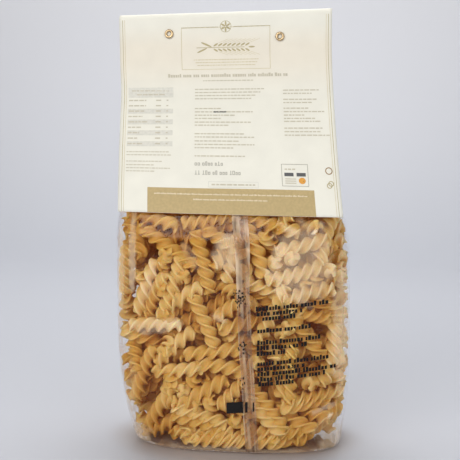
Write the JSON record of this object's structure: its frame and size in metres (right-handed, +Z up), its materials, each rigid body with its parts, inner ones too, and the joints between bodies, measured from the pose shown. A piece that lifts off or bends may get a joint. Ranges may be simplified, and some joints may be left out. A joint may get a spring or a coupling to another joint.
{
  "type": "pasta packet",
  "caption": "Upright clear film bag of twisted dry pasta with a flat foot and folded sides, its closed top covered by a folded card header held with small metal eyelets.",
  "frame": {"origin": "on the table, under the middle of the packet's overall box", "axes": "+Z up the packet, -Y towards the shown face with the lap seam, +X to that face's right"},
  "size_m": [0.1363, 0.0782, 0.2512],
  "materials": {
    "film": "clear glossy film over golden dry pasta",
    "card": "smooth uncoated cream card, printed",
    "eyelet": "dull bronzed brass"
  },
  "bodies": {
    "root": {"bag": "film", "header_card": "card", "eyelet_left": "eyelet", "eyelet_right": "eyelet"}
  },
  "joints": []
}
